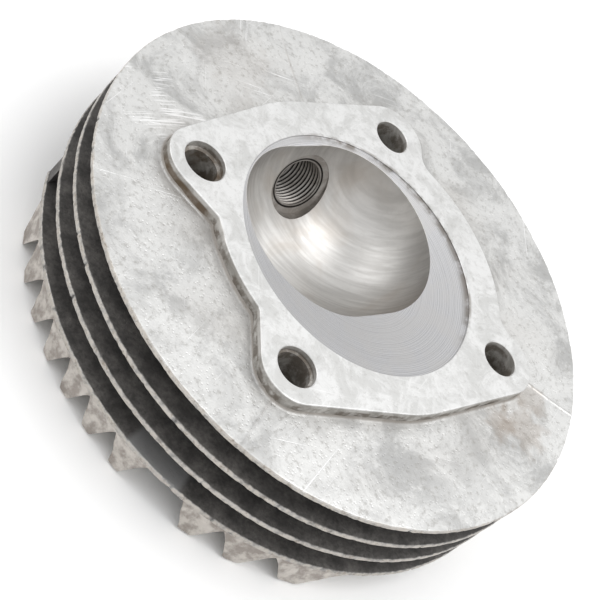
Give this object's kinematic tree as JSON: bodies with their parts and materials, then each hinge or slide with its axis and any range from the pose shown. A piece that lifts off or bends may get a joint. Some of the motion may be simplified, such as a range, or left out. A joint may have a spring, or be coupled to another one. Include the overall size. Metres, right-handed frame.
{
  "type": "air-cooled cylinder head",
  "caption": "Round finned cylinder head of an air-cooled two-stroke engine, with an off-centre bowl chamber, angled spark plug hole and crown ribs.",
  "frame": {"origin": "on the axis of the chamber rim, at the level of the crests of the crown ribs that the head lies on", "axes": "+Z out of the combustion chamber, square to the gasket face; +X along the symmetry line of the stud pattern, towards the wider stud pair; the spark plug hole leaves towards +Y"},
  "size_m": [0.14, 0.14, 0.0372],
  "materials": {
    "machined_face": "machined gasket land, bowl and threaded hole, bright with light stains",
    "cast_fin": "rough cast, bright outer face and rims, soot-dark between the fins",
    "cast_crown": "rough cast, dull and slightly brown"
  },
  "bodies": {
    "root": {"head_core": "machined_face", "plug_boss": "machined_face", "fin_plate_1": "cast_fin", "fin_plate_2": "cast_fin", "fin_plate_3": "cast_fin", "crown_plate": "cast_crown", "nut_seat_1": "cast_crown", "nut_seat_2": "cast_crown", "nut_seat_3": "cast_crown", "nut_seat_4": "cast_crown", "recess_wall": "cast_crown", "crown_rib_01": "cast_crown", "crown_rib_02": "cast_crown", "crown_rib_03": "cast_crown", "crown_rib_04": "cast_crown", "crown_rib_05": "cast_crown", "crown_rib_06": "cast_crown", "crown_rib_07": "cast_crown", "crown_rib_08": "cast_crown", "crown_rib_09": "cast_crown", "crown_rib_10": "cast_crown", "crown_rib_11": "cast_crown"}
  },
  "joints": []
}
